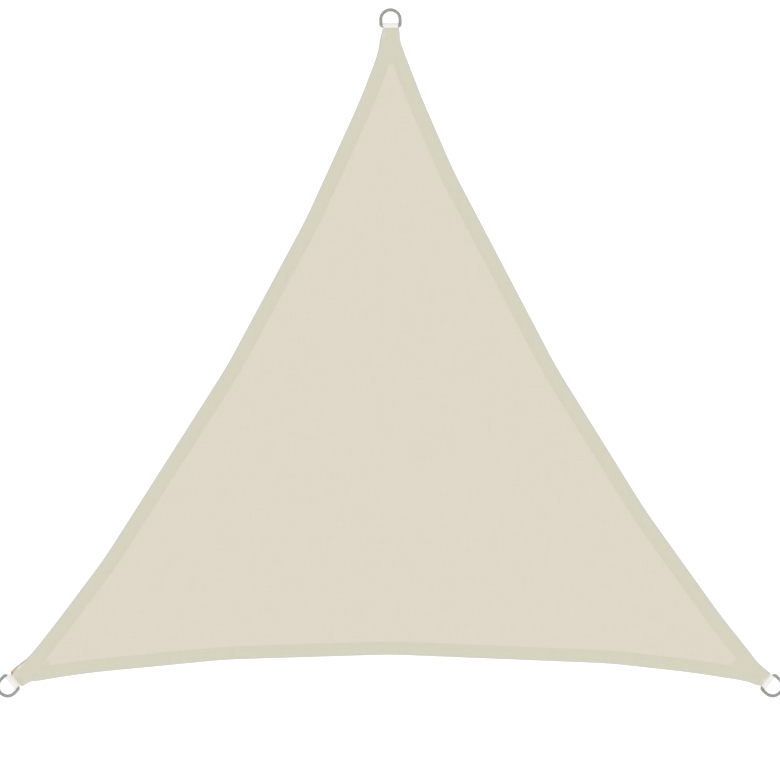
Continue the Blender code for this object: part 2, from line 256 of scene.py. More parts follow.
@dataclass
class SailPlan:
    """The sail's outline, seen from above."""

    corners: tuple[Corner, ...] = (TOP, LEFT, RIGHT)
    edges: tuple[Edge, ...] = (LEFT_EDGE, BOTTOM_EDGE, RIGHT_EDGE)
    panel_tip_depth: float = 96 * MM
    bend_softness: float = 45 * MM
    bend_limit: float = 0.45
    bend_steps: int = 8
    heading_reach: float = 2 * MM

    def __post_init__(self) -> None:
        """Works out each edge's line once."""
        self.lines = [self._edge_line(edge) for edge in self.edges]
        self.runs = [self._runs(line) for line in self.lines]

    def _edge_line(self, edge: Edge) -> np.ndarray:
        """The line of an edge from neck to neck, with its bends rounded.

        Args:
            edge: The edge to draw.

        Returns:
            Its points, one a row.
        """
        first = edge.start.middle() + edge.start.leftwards() * edge.start.end_width / 2
        last = edge.end.middle() - edge.end.leftwards() * edge.end.end_width / 2
        chord = (last - first) / np.linalg.norm(last - first)
        inwards = np.array((-chord[1], chord[0]))
        bends = [first + (last - first) * bend.share + inwards * bend.inset for bend in edge.bends]
        points = [first, *bends, last]
        line = [first]
        for before, bend, after in zip(points, points[1:], points[2:]):
            enter = self._towards(bend, before)
            leave = self._towards(bend, after)
            for t in np.linspace(0, 1, self.bend_steps + 1):
                line.append(enter * (1 - t) ** 2 + bend * 2 * t * (1 - t) + leave * t**2)
        return np.array([*line, last])

    def _towards(self, bend: np.ndarray, other: np.ndarray) -> np.ndarray:
        """Where the rounding of a bend starts on the way to the next one.

        Args:
            bend: The bend.
            other: The next one.

        Returns:
            A point at most the bend limit's share of that way from the bend.
        """
        way = other - bend
        length = np.linalg.norm(way)
        return bend + way / length * min(self.bend_softness, self.bend_limit * length)

    @staticmethod
    def _runs(line: np.ndarray) -> np.ndarray:
        """How far along a line each of its points is."""
        steps = np.linalg.norm(np.diff(line, axis=0), axis=1)
        return np.concatenate([[0.0], np.cumsum(steps)])

    def at(self, edge: int, runs: np.ndarray, inset: float) -> np.ndarray:
        """Points at some runs along an edge, moved inwards.

        Args:
            edge: The edge's number.
            runs: How far along the edge each point is.
            inset: How far inside the edge the points lie.

        Returns:
            One plan position a row.
        """
        line, known = self.lines[edge], self.runs[edge]
        place = [np.interp(runs, known, line[:, axis]) for axis in (0, 1)]
        ahead = [np.interp(runs + self.heading_reach, known, line[:, axis]) for axis in (0, 1)]
        behind = [np.interp(runs - self.heading_reach, known, line[:, axis]) for axis in (0, 1)]
        along = np.stack(ahead, axis=1) - np.stack(behind, axis=1)
        along /= np.linalg.norm(along, axis=1, keepdims=True)
        return np.stack(place, axis=1) + np.stack([-along[:, 1], along[:, 0]], axis=1) * inset

    def read(self, points: np.ndarray) -> EdgeReading:
        """Finds the nearest sail edge to each point.

        Args:
            points: Plan positions, one a row.

        Returns:
            The distances, the runs, the edge numbers and how far past the hems the points lie.
        """
        distances, runs = [], []
        for line, known in zip(self.lines, self.runs):
            starts, ways = line[:-1], np.diff(line, axis=0)
            lengths = np.linalg.norm(ways, axis=1)
            lengths[lengths == 0] = TINY
            best = np.full(len(points), np.inf)
            run = np.zeros(len(points))
            for start, way, length, begin in zip(starts, ways, lengths, known):
                share = np.clip(((points - start) @ way) / length**2, 0, 1)
                gap = np.linalg.norm(points - start - share[:, None] * way, axis=1)
                nearer = gap < best
                best[nearer] = gap[nearer]
                run[nearer] = begin + share[nearer] * length
            distances.append(best)
            runs.append(run)
        edge = np.argmin(distances, axis=0)
        rows = np.arange(len(points))
        past_hem = np.min([gap - side.hem_width for gap, side in zip(distances, self.edges)], axis=0)
        return EdgeReading(np.array(distances)[edge, rows], np.array(runs)[edge, rows], edge, past_hem)

    def corner_depth(self, points: np.ndarray) -> np.ndarray:
        """How far points lie behind the neck end that they are nearest to."""
        return np.min([corner.depth(points) for corner in self.corners], axis=0)

    def into_panel(self, points: np.ndarray, reading: EdgeReading) -> np.ndarray:
        """How far points lie inside the panel's single layer, whose tips end short of the necks."""
        return np.minimum(reading.past_hem, self.corner_depth(points) - self.panel_tip_depth)


# --- Finishes --------------------------------------------------------------------------------------------------


class Side(Enum):
    """The part of a neck that a mark is on, seen along its heading: where value times offset isn't below 0."""

    LEFT = 1
    RIGHT = -1
    BOTH = 0


class Stain(Enum):
    """A stain's kind, as the cloth's attribute that holds its share."""

    GREY = "grey_share"
    PALE = "pale_share"
    TAN = "tan_share"
    BROWN = "brown_share"


def linear(hex_colour: str) -> tuple[float, float, float, float]:
    """Turns a colour into linear light.

    Args:
        hex_colour: Its sRGB hex value, such as "DFD8C8".

    Returns:
        Red, green, blue and alpha.
    """
    channels = [int(hex_colour[i : i + 2], 16) / 255 for i in (0, 2, 4)]
    red, green, blue = (c / 12.92 if c <= 0.04045 else ((c + 0.055) / 1.055) ** 2.4 for c in channels)
    return (red, green, blue, 1.0)


def add_node(
    tree: NodeTree,
    kind: str,
    settings: dict[str | int, object] | None = None,
    links: dict[str | int, NodeSocket] | None = None,
) -> Node:
    """Adds a node with its settings and its links.

    Args:
        tree: The material's node tree.
        kind: The node's type.
        settings: Values for its properties, or for its input sockets by name or number.
        links: The sockets that feed its inputs, by name or number.

    Returns:
        The new node.
    """
    node = tree.nodes.new(kind)
    for name, value in (settings or {}).items():
        if isinstance(name, str) and hasattr(node, name):
            setattr(node, name, value)
        else:
            node.inputs[name].default_value = value
    for name, socket in (links or {}).items():
        tree.links.new(socket, node.inputs[name])
    return node


def new_material(name: str, settings: dict[str, object]) -> tuple[Material, NodeTree, Node]:
    """Makes a material.

    Args:
        name: Its name.
        settings: Values for the input sockets of its Principled shader, by name.

    Returns:
        The material, its node tree and its shader.
    """
    material = bpy.data.materials.new(name)
    material.use_nodes = True
    tree = material.node_tree
    shader = tree.nodes["Principled BSDF"]
    for socket, value in settings.items():
        shader.inputs[socket].default_value = value
    return material, tree, shader


def wave_scale(period: float) -> float:
    """The scale that gives a Wave texture one crest every period, in metres. Its bands are sin(20 x scale)."""
    return 2 * math.pi / (20 * period)


class Direction(Enum):
    """Which way a set of threads runs, as the axis across which its bands follow each other."""

    ALONG_X = "Y"
    ALONG_Y = "X"


@dataclass(frozen=True)
class WovenSailCloth:
    """Plain-woven solution-dyed polyester, pressed flat: matt, with thick and thin threads.

    The threads lie 0.55 mm apart and are woven in pairs, so squares of 1.1 mm show in a close view, where a thread
    is also a little lighter or darker than the next. From further off the cloth is even. Two or three layers, at a
    hem or a neck, let less light through.
    """

    panel_colour: str = "DFD8C8"
    hem_colour: str = "D6D3BF"
    neck_colour: str = "D6D4C0"
    # Painted shade: the rolled outer rim is drawn greyer, as if the fold curved away from the light.
    rim_shade_colour: str = "D2D1CA"
    grey_colour: str = "DBD4CC"
    pale_colour: str = "EFE7D7"
    tan_colour: str = "DBA58C"
    brown_colour: str = "9A846C"
    roughness: float = 0.88
    specular: float = 0.3
    sheen: float = 0.15
    sheen_roughness: float = 0.6
    square: float = 1.1 * MM
    thread_run: float = 60 * MM
    streak_length: float = 90 * MM
    streak_width: float = 5 * MM
    cloud: float = 180 * MM
    blotch: float = 3 * MM
    thread_contrast: float = 0.018
    streak_contrast: float = 0.003

    def material(self) -> Material:
        """Builds the material.

        Returns:
            The material.
        """
        settings = {
            "Roughness": self.roughness,
            "Specular IOR Level": self.specular,
            "Sheen Weight": self.sheen,
            "Sheen Roughness": self.sheen_roughness,
        }
        material, tree, shader = new_material("woven_polyester_sail_cloth", settings)
        place = add_node(tree, "ShaderNodeTexCoord").outputs["Object"]
        colour = self._layer_colour(tree, place)
        colour = self._varied(tree, place, colour)
        tree.links.new(colour, shader.inputs["Base Color"])
        tree.links.new(self._weave(tree, place), shader.inputs["Normal"])
        return material

    def _layer_colour(self, tree: NodeTree, place: NodeSocket) -> NodeSocket:
        """The cloth's colour by how many layers lie together, with painted shade along its rolled rim and its
        stained rim by the necks.

        A stain soaks in unevenly: a fine noise breaks up its share, most of all at its border.

        Args:
            tree: The material's node tree.
            place: The output that gives the place on the piece.

        Returns:
            The colour's output.
        """
        noise = add_node(tree, "ShaderNodeTexNoise", {"Scale": 1 / self.blotch, "Detail": 3.0}, {"Vector": place})
        soaked = add_node(
            tree,
            "ShaderNodeMapRange",
            {"From Min": 0.3, "From Max": 0.6, "To Min": 0.45, "To Max": 1.15},
            {"Value": noise.outputs["Fac"]},
        ).outputs["Result"]
        colour: NodeSocket | None = None
        overlays = (
            ("hem_share", self.hem_colour),
            ("neck_share", self.neck_colour),
            ("rim_painted_shade", self.rim_shade_colour),
            (Stain.GREY.value, self.grey_colour),
            (Stain.PALE.value, self.pale_colour),
            (Stain.TAN.value, self.tan_colour),
            (Stain.BROWN.value, self.brown_colour),
        )
        for attribute, over in overlays:
            share = add_node(tree, "ShaderNodeAttribute", {"attribute_name": attribute}).outputs["Fac"]
            if attribute in (Stain.TAN.value, Stain.BROWN.value):
                product = {"operation": "MULTIPLY", "use_clamp": True}
                share = add_node(tree, "ShaderNodeMath", product, {0: share, 1: soaked}).outputs["Value"]
            mix = add_node(tree, "ShaderNodeMix", {"data_type": "RGBA", 7: linear(over)}, {0: share})
            if colour is None:
                mix.inputs[6].default_value = linear(self.panel_colour)
            else:
                tree.links.new(colour, mix.inputs[6])
            colour = mix.outputs[2]
        return colour

    def _varied(self, tree: NodeTree, place: NodeSocket, colour: NodeSocket) -> NodeSocket:
        """Makes some threads lighter or darker, and adds faint streaks both ways and a cloudiness.

        Args:
            tree: The material's node tree.
            place: The output that gives the place on the piece.
            colour: The output of the colour to vary.

        Returns:
            The varied colour's output.
        """
        factor: NodeSocket | None = None
        run, thread = 1 / self.thread_run, 1 / self.square
        long, short = 1 / self.streak_length, 1 / self.streak_width
        cloud = 1 / self.cloud
        stretches = (
            (run, thread, self.thread_contrast),
            (thread, run, self.thread_contrast),
            (long, short, self.streak_contrast),
            (short, long, self.streak_contrast),
            (cloud, cloud, self.streak_contrast),
        )
        for across, up, strength in stretches:
            stretched = add_node(
                tree, "ShaderNodeMapping", {"vector_type": "POINT", "Scale": (across, up, 1)}, {"Vector": place}
            )
            noise = add_node(
                tree, "ShaderNodeTexNoise", {"Scale": 1.0, "Detail": 2.0}, {"Vector": stretched.outputs["Vector"]}
            )
            graded = add_node(
                tree,
                "ShaderNodeMapRange",
                {"From Min": 0.3, "From Max": 0.7, "To Min": 1 - strength, "To Max": 1 + strength},
                {"Value": noise.outputs["Fac"]},
            )
            if factor is None:
                factor = graded.outputs["Result"]
            else:
                product = {"operation": "MULTIPLY"}
                factor = add_node(
                    tree, "ShaderNodeMath", product, {0: factor, 1: graded.outputs["Result"]}
                ).outputs["Value"]
        return add_node(
            tree, "ShaderNodeVectorMath", {"operation": "SCALE"}, {"Vector": colour, "Scale": factor}
        ).outputs["Vector"]

    def _weave(self, tree: NodeTree, place: NodeSocket) -> NodeSocket:
        """The weave's relief: the squares where a pair of threads passes over another.

        Args:
            tree: The material's node tree.
            place: The output that gives the place on the piece.

        Returns:
            The normal's output.
        """
        waves = [
            add_node(
                tree,
                "ShaderNodeTexWave",
                {
                    "wave_type": "BANDS",
                    "bands_direction": direction.value,
                    "Scale": wave_scale(2 * self.square),
                    "Distortion": 0.0,
                },
                {"Vector": place},
            ).outputs["Fac"]
            for direction in Direction
        ]
        over = add_node(tree, "ShaderNodeMath", {"operation": "SUBTRACT"}, {0: waves[0], 1: waves[1]})
        height = add_node(tree, "ShaderNodeMath", {"operation": "ABSOLUTE"}, {0: over.outputs["Value"]})
        relief = {"Strength": 0.35, "Distance": 0.12 * MM}
        return add_node(tree, "ShaderNodeBump", relief, {"Height": height.outputs["Value"]}).outputs["Normal"]


@dataclass(frozen=True)
class PolyesterWebbing:
    """White flat-woven polyester webbing: thick ribs along it, 1.9 mm apart, crossed by a fine weft. Its hollows
    are drawn darker as painted shade.

    It reads its own UV map, in millimetres: U along the strip and V across it.
    """

    colour: str = "FAF6F3"
    hollow_shade_colour: str = "EDE9E5"
    roughness: float = 0.8
    specular: float = 0.3
    sheen: float = 0.2
    rib: float = 1.9
    weft: float = 1.1
    weft_share: float = 0.35

    def material(self) -> Material:
        """Builds the material.

        Returns:
            The material.
        """
        settings = {
            "Roughness": self.roughness,
            "Specular IOR Level": self.specular,
            "Sheen Weight": self.sheen,
        }
        material, tree, shader = new_material("woven_polyester_webbing", settings)
        place = add_node(tree, "ShaderNodeUVMap", {"uv_map": "strip"}).outputs["UV"]
        ribs, wefts = (
            add_node(
                tree,
                "ShaderNodeTexWave",
                {"bands_direction": direction.value, "Scale": wave_scale(period), "Distortion": 0.0},
                {"Vector": place},
            ).outputs["Fac"]
            for direction, period in ((Direction.ALONG_X, self.rib), (Direction.ALONG_Y, self.weft))
        )
        fainter = {"operation": "MULTIPLY", 1: self.weft_share}
        wefts = add_node(tree, "ShaderNodeMath", fainter, {0: wefts}).outputs["Value"]
        height = add_node(tree, "ShaderNodeMath", {"operation": "ADD"}, {0: ribs, 1: wefts}).outputs["Value"]
        # Painted shade: the colour follows the relief, darker in the hollows between ribs and wefts.
        mix = add_node(
            tree,
            "ShaderNodeMix",
            {"data_type": "RGBA", 6: linear(self.hollow_shade_colour), 7: linear(self.colour)},
            {0: height},
        )
        relief = {"Strength": 0.5, "Distance": 0.25 * MM}
        normal = add_node(tree, "ShaderNodeBump", relief, {"Height": height}).outputs["Normal"]
        tree.links.new(mix.outputs[2], shader.inputs["Base Color"])
        tree.links.new(normal, shader.inputs["Normal"])
        return material


@dataclass(frozen=True)
class SewingThread:
    """Bonded polyester thread, 0.5 mm thick: off-white, with a low gloss and a slight mottle."""

    colour: str = "E6E1D2"
    shade_colour: str = "D2CCBA"
    roughness: float = 0.6
    mottle: float = 2 * MM

    def material(self) -> Material:
        """Builds the material.

        Returns:
            The material.
        """
        material, tree, shader = new_material("bonded_polyester_thread", {"Roughness": self.roughness})
        place = add_node(tree, "ShaderNodeTexCoord").outputs["Object"]
        noise = add_node(tree, "ShaderNodeTexNoise", {"Scale": 1 / self.mottle, "Detail": 1.0}, {"Vector": place})
        colours = {"data_type": "RGBA", 6: linear(self.shade_colour), 7: linear(self.colour)}
        mix = add_node(tree, "ShaderNodeMix", colours, {0: noise.outputs["Fac"]})
        tree.links.new(mix.outputs[2], shader.inputs["Base Color"])
        return material


@dataclass(frozen=True)
class GalvanisedSteel:
    """Drawn steel wire, welded and zinc-coated: dull mid grey, with a soft broken gloss and fine pits."""

    colour: str = "AAA9A5"
    dark_colour: str = "959491"
    roughness: float = 0.42
    gloss_spread: float = 0.08
    dull_spread: float = 0.12
    patch: float = 6 * MM
    pit: float = 0.7 * MM

    def material(self) -> Material:
        """Builds the material.

        Returns:
            The material.
        """
        material, tree, shader = new_material("zinc_coated_steel_wire", {"Metallic": 1.0})
        place = add_node(tree, "ShaderNodeTexCoord").outputs["Object"]
        patches, pits = (
            add_node(
                tree, "ShaderNodeTexNoise", {"Scale": 1 / size, "Detail": 3.0}, {"Vector": place}
            ).outputs["Fac"]
            for size in (self.patch, self.pit)
        )
        graded = add_node(tree, "ShaderNodeMapRange", {"From Min": 0.35, "From Max": 0.65}, {"Value": patches})
        colours = {"data_type": "RGBA", 6: linear(self.dark_colour), 7: linear(self.colour)}
        mix = add_node(tree, "ShaderNodeMix", colours, {0: graded.outputs["Result"]})
        gloss = add_node(
            tree,
            "ShaderNodeMapRange",
            {"To Min": self.roughness - self.gloss_spread, "To Max": self.roughness + self.dull_spread},
            {"Value": patches},
        )
        relief = {"Strength": 0.25, "Distance": 0.05 * MM}
        normal = add_node(tree, "ShaderNodeBump", relief, {"Height": pits}).outputs["Normal"]
        tree.links.new(mix.outputs[2], shader.inputs["Base Color"])
        tree.links.new(gloss.outputs["Result"], shader.inputs["Roughness"])
        tree.links.new(normal, shader.inputs["Normal"])
        return material


@dataclass(frozen=True)
class WhiteBoard:
    """The studio floor: matt white board, lit a little from below as a light table is."""

    colour: str = "FBFBFB"
    glow: float = 0.35

    def material(self) -> Material:
        """Builds the material.

        Returns:
            The material.
        """
        settings = {
            "Base Color": linear(self.colour),
            "Roughness": 1.0,
            "Specular IOR Level": 0.0,
            "Emission Color": WHITE,
            "Emission Strength": self.glow,
        }
        return new_material("matt_white_board", settings)[0]


# --- Making pieces ---------------------------------------------------------------------------------------------


def smooth_piece(mesh: Mesh, material: Material) -> Object:
    """Shades a mesh smooth, gives it its finish, and puts it in the scene.

    Args:
        mesh: The piece's mesh, at its final place.
        material: Its finish.

    Returns:
        The new object, named as the mesh is.
    """
    mesh.polygons.foreach_set("use_smooth", [True] * len(mesh.polygons))
    mesh.materials.append(material)
    obj = bpy.data.objects.new(mesh.name, mesh)
    bpy.context.scene.collection.objects.link(obj)
    return obj


def of_kind(geometry: list, kind: type) -> list:
    """The vertices, edges or faces among what a bmesh operator gives back."""
    return [item for item in geometry if isinstance(item, kind)]


def add_piece(name: str, bm: BMesh, material: Material) -> Object:
    """Ends a bmesh as a smooth-shaded object at the origin.

    Args:
        name: The piece's name.
        bm: Its shape, which is freed.
        material: Its finish.

    Returns:
        The new object.
    """
    mesh = bpy.data.meshes.new(name)
    bm.to_mesh(mesh)
    bm.free()
    obj = smooth_piece(mesh, material)
    mesh.set_sharp_from_angle(angle=SHARP_ANGLE)
    return obj


def positions(mesh: Mesh) -> np.ndarray:
    """The places of a mesh's points.

    Args:
        mesh: The mesh to read.

    Returns:
        One place a row.
    """
    flat = np.empty(len(mesh.vertices) * 3, np.float32)
    mesh.vertices.foreach_get("co", flat)
    return flat.reshape(-1, 3).astype(float)


@dataclass(frozen=True)
class Mark:
    """A worn or stained place by a neck's rim.

    Its depth is behind the neck's end and its inset is from the rim, both at its middle. Length and width are how
    far it fades out to each side.
    """

    corner: Corner
    side: Side
    stain: Stain
    strength: float
    depth: float
    length: float
    inset: float
    width: float

    def on(self, points: np.ndarray, distance: np.ndarray) -> np.ndarray:
        """How strong the mark is.

        Args:
            points: Plan positions, one a row.
            distance: How far each of them is from the sail's edge.

        Returns:
            One share a point.
        """
        strength = self.strength * bump_of(self.corner.depth(points), self.depth, self.length)
        strength *= bump_of(distance, self.inset, self.width)
        return strength * (self.side.value * self.corner.offset(points) >= 0)


# The left neck has a stained fold on its upper side, and the two others fainter marks and a greyer end.
MARKS = (
    Mark(LEFT, Side.RIGHT, Stain.BROWN, 0.60, depth=41 * MM, length=13 * MM, inset=0.5 * MM, width=3.0 * MM),
    Mark(LEFT, Side.RIGHT, Stain.BROWN, 0.65, depth=22 * MM, length=7 * MM, inset=1.5 * MM, width=3.0 * MM),
    Mark(LEFT, Side.RIGHT, Stain.BROWN, 1.00, depth=4 * MM, length=4.5 * MM, inset=4 * MM, width=3.5 * MM),
    Mark(LEFT, Side.RIGHT, Stain.TAN, 1.00, depth=13 * MM, length=5.5 * MM, inset=3.5 * MM, width=4.0 * MM),
    Mark(LEFT, Side.RIGHT, Stain.PALE, 0.85, depth=27 * MM, length=9 * MM, inset=7 * MM, width=3.0 * MM),
    Mark(LEFT, Side.RIGHT, Stain.PALE, 0.80, depth=5 * MM, length=8 * MM, inset=11 * MM, width=3.5 * MM),
    Mark(LEFT, Side.LEFT, Stain.BROWN, 0.35, depth=2.5 * MM, length=4 * MM, inset=1 * MM, width=3.0 * MM),
    Mark(TOP, Side.LEFT, Stain.BROWN, 0.30, depth=26 * MM, length=13 * MM, inset=1 * MM, width=2.6 * MM),
    Mark(TOP, Side.LEFT, Stain.TAN, 0.15, depth=15 * MM, length=9 * MM, inset=1 * MM, width=3.0 * MM),
    Mark(TOP, Side.LEFT, Stain.PALE, 0.35, depth=19 * MM, length=8 * MM, inset=7 * MM, width=3.0 * MM),
    Mark(TOP, Side.BOTH, Stain.GREY, 0.30, depth=0 * MM, length=5 * MM, inset=20 * MM, width=30 * MM),
    Mark(RIGHT, Side.LEFT, Stain.BROWN, 0.40, depth=6 * MM, length=3.5 * MM, inset=1 * MM, width=2.5 * MM),
    Mark(RIGHT, Side.BOTH, Stain.GREY, 0.85, depth=0 * MM, length=9 * MM, inset=20 * MM, width=30 * MM),
    Mark(RIGHT, Side.BOTH, Stain.PALE, 0.95, depth=-0.5 * MM, length=2.5 * MM, inset=20 * MM, width=30 * MM),
)


@dataclass
class SailCloth:
    """The sail cloth with its turned-in hems and its three necks, each with an open mouth for the webbing."""

    plan: SailPlan
    panel: float = 0.6 * MM
    hem: float = 1.5 * MM
    neck: float = 5.4 * MM
    hem_step: float = 1.2 * MM
    stitch_rows: tuple[float, ...] = (-10 * MM, -3 * MM)
    stitch_dent: float = 0.22 * MM
    webbing_half_width: float = 19.3 * MM
    neck_flat_depth: float = 41 * MM
    neck_slope_depth: float = 60 * MM
    lip: float = 0.4 * MM
    mouth_depth: float = 40.5 * MM
    near_spacing: float = 2.5 * MM
    far_spacing: float = 6.5 * MM
    near_length: float = 120 * MM
    field_spacing: float = 15 * MM
    pucker: float = 0.3 * MM
    swell: float = 1.0 * MM
    crease: float = 0.7 * MM
    pucker_bias: float = 0.3
    swell_bias: float = 0.35
    edge_phase: float = 1.7
    fold_sink: float = 0.06
    end_rounding: float = 0.5 * MM
    seam_width: float = 0.9 * MM
    # How strong the painted shade along the rolled rim is.
    rim_shade_strength: float = 0.8
    webbing_side_clearance: float = 0.9 * MM
    neck_side_slope: float = 5 * MM

    # The rows of the triangles' points: how many millimetres inside the outline, or past a hem's inner edge, each
    # row lies. The tolerance on that is in millimetres too.
    rim_rows: tuple[float, ...] = (0.25, 0.6, 1.1, 1.8, 2.7)
    hem_rows: tuple[float, ...] = (5, 7, 9, 14, 19)
    seam_rows: tuple[float, ...] = (-13, -10.8, -10, -9.2, -6.5, -3.8, -3, -2.2)
    step_rows: tuple[float, ...] = (-0.6, 0.6)
    field_rows: tuple[float, ...] = (3, 9, 17)
    row_tolerance: float = 0.02

    # The box that the panel's evenly spaced points are taken from, and how close points come at a neck's end.
    field_x: Pair = (-1.0, 1.0)
    field_y: Pair = (-0.6, 1.2)
    end_spacing: float = 1.5 * MM
    end_clearance: float = 0.2 * MM

    # A face is a neck's end face when it looks out this straight and lies this near the end.
    end_facing: float = 0.9
    end_tolerance: float = 0.1 * MM

    # The creases that fan out from a neck: each one's slant, how it shifts from corner to corner, and its width.
    crease_fans: tuple[Triple, ...] = ((-0.17, 0.03, 0.035), (0.05, -0.04, 0.03), (0.2, 0, 0.04))
    # The puckers' waves along a hem: each one's length and phase. Then their bands: share, distance and width.
    pucker_waves: tuple[Pair, ...] = ((31 * MM, 0.3), (47 * MM, 1.9), (83 * MM, 4.0))
    pucker_bands: tuple[Triple, ...] = ((1, 16 * MM, 14 * MM), (0.5, 46 * MM, 12 * MM))
    # The swells' waves: how fast each turns along X and along Y, in radians a metre, and its phase.
    swell_waves: tuple[Triple, ...] = ((7.1, 2.3, 0.4), (-3.2, 8.3, 2.0), (5.0, -6.1, 4.4))

    # Where something leaves 0 and where it is at its full strength. Seams, necks, puckers and creases go by the
    # depth behind a neck's end, hems and creases' margins by the way into the panel, and swells and rims by the
    # distance from the rim.
    seam_range: Pair = (62 * MM, 75 * MM)
    pucker_range: Pair = (90 * MM, 160 * MM)
    crease_rise: Pair = (90 * MM, 150 * MM)
    crease_fall: Pair = (520 * MM, 200 * MM)
    crease_margin: Pair = (0, 25 * MM)
    swell_range: Pair = (60 * MM, 220 * MM)
    hem_shade: Pair = (2.5 * MM, -2.5 * MM)
    neck_shade: Pair = (100 * MM, 60 * MM)
    rim_shade: Pair = (9 * MM, 0.5 * MM)

    def build(self, material: Material) -> Object:
        """Builds the cloth.

        Args:
            material: The cloth's finish.

        Returns:
            The cloth's object.
        """
        bm = self._flat_cut()
        bmesh.ops.extrude_face_region(bm, geom=bm.faces[:])
        count = len(bm.verts) // 2
        plan = np.array([vert.co.xy for vert in bm.verts[:]])
        upper, lower = self.upper_height(plan[count:]), self.lower_height(plan[:count])
        for vert, height in zip(bm.verts, np.concatenate([lower, upper])):
            vert.co.z = height
        bmesh.ops.recalc_face_normals(bm, faces=bm.faces)
        for corner in self.plan.corners:
            self._open_mouth(bm, corner)
        cloth = add_piece("sail", bm, material)
        self._grade(cloth)
        return cloth

    def _stations(self, edge: int) -> np.ndarray:
        """Runs along an edge, closer together near its necks.

        Args:
            edge: The edge's number.

        Returns:
            One run a station.
        """
        length = self.plan.runs[edge][-1]
        near = np.arange(0, self.near_length, self.near_spacing)
        middle = length - 2 * self.near_length
        far = self.near_length + np.linspace(0, middle, round(middle / self.far_spacing) + 1)
        return np.concatenate([near, far, (length - near)[::-1]])

    def _flat_cut(self) -> BMesh:
        """Fills the outline with triangles, whose points lie in rows along the hems.

        Returns:
            The cloth's flat cut.
        """
        outline = self._outline()
        rows, lines = self._rows(len(outline))
        points = [Vector(point) for point in (*outline, *rows, *self._field())]
        found = delaunay_2d_cdt(points, lines, [list(range(len(outline)))], FILL_INSIDE, FILL_MERGE)
        places, _, triangles = found[:3]
        bm = bmesh.new()
        verts = [bm.verts.new((place.x, place.y, 0)) for place in places]
        for triangle in triangles:
            bm.faces.new([verts[i] for i in triangle])
        loose = [vert for vert in bm.verts if not vert.link_faces]
        bmesh.ops.delete(bm, geom=loose, context="VERTS")
        return bm

    def _outline(self) -> list[np.ndarray]:
        """The points round the cloth: along each edge, and across the end of the neck that it leads to.

        Returns:
            The points in order.
        """
        points: list[np.ndarray] = []
        for number, edge in enumerate(self.plan.edges):
            row = self.plan.at(number, self._stations(number), 0.0)
            steps = round(edge.end.end_width / self.end_spacing)
            across = self.plan.lines[(number + 1) % len(self.plan.edges)][0] - row[-1]
            points += [*row, *(row[-1] + across * i / steps for i in range(1, steps))]
        return points

    def _rows(self, first: int) -> tuple[list[np.ndarray], list[tuple[int, int]]]:
        """The rows of points along the hems.

        Args:
            first: The number that their first point gets.

        Returns:
            The points, and pairs of their numbers where triangles have to follow the row.
        """
        points: list[np.ndarray] = []
        lines: list[tuple[int, int]] = []
        for number, edge in enumerate(self.plan.edges):
            past_hem = (*self.seam_rows, *self.step_rows, *self.field_rows)
            from_rim = (*self.rim_rows, *self.hem_rows, *(edge.hem_width / MM + row for row in past_hem))
            hard_rows = (*self.rim_rows, *(edge.hem_width / MM + row for row in self.step_rows))
            for inset in from_rim:
                row = self.plan.at(number, self._stations(number), inset * MM)
                kept = self.plan.read(row).distance > (inset - self.row_tolerance) * MM
                kept &= self.plan.corner_depth(row) > self.end_clearance
                for i in np.flatnonzero(kept):
                    if inset in hard_rows and i and kept[i - 1]:
                        lines.append((first + len(points) - 1, first + len(points)))
                    points.append(row[i])
        return points, lines

    def _field(self) -> np.ndarray:
        """Evenly spaced points in the panel, inside the rows along its hems.

        Returns:
            One plan position a row.
        """
        spacing = self.field_spacing
        xs, ys = np.arange(*self.field_x, spacing), np.arange(*self.field_y, spacing * math.sqrt(3) / 2)
        grid = np.array([(x + spacing / 2 * (row % 2), y) for row, y in enumerate(ys) for x in xs])
        clear = self.field_rows[-1] * MM + spacing / 2
        return grid[(self.plan.read(grid).past_hem > clear) & self._within(grid)]

    def _within(self, points: np.ndarray) -> np.ndarray:
        """Finds the points on the cloth's side of each half of every edge, carried on as a straight line.

        Args:
            points: Plan positions, one a row.

        Returns:
            True for each point that is.
        """
        inside = np.ones(len(points), bool)
        for line in self.plan.lines:
            middle = line[len(line) // 2]
            for start, end in ((line[0], middle), (middle, line[-1])):
                way = end - start
                inside &= way[0] * (points[:, 1] - start[1]) - way[1] * (points[:, 0] - start[0]) > 0
        return inside

    def _open_mouth(self, bm: BMesh, corner: Corner) -> None:
        """Opens a neck's end into the pocket that holds the webbing's two ends.

        Args:
            bm: The cloth's shape.
            corner: The neck's corner.
        """
        forward = Vector((*corner.outwards(), 0))
        end_faces = [
            face
            for face in bm.faces
            if face.normal.dot(forward) >= self.end_facing and self._before_webbing(face, corner)
        ]
        bmesh.ops.inset_region(bm, faces=end_faces, thickness=self.lip, use_boundary=True, use_even_offset=True)
        pushed = bmesh.ops.extrude_face_region(bm, geom=end_faces)["geom"]
        bmesh.ops.delete(bm, geom=end_faces, context="FACES")
        verts = of_kind(pushed, BMVert)
        bmesh.ops.translate(bm, verts=verts, vec=-forward * self.mouth_depth)

    def _before_webbing(self, face: BMFace, corner: Corner) -> bool:
        """Whether a face lies at a neck's end and within the webbing's width.

        Args:
            face: One of the cloth's faces.
            corner: The neck's corner.

        Returns:
            True if it does.
        """
        centre = np.array([face.calc_center_median().xy])
        at_end = abs(corner.depth(centre)[0]) < self.end_tolerance
        return at_end and abs(corner.offset(centre)[0]) < self.webbing_half_width

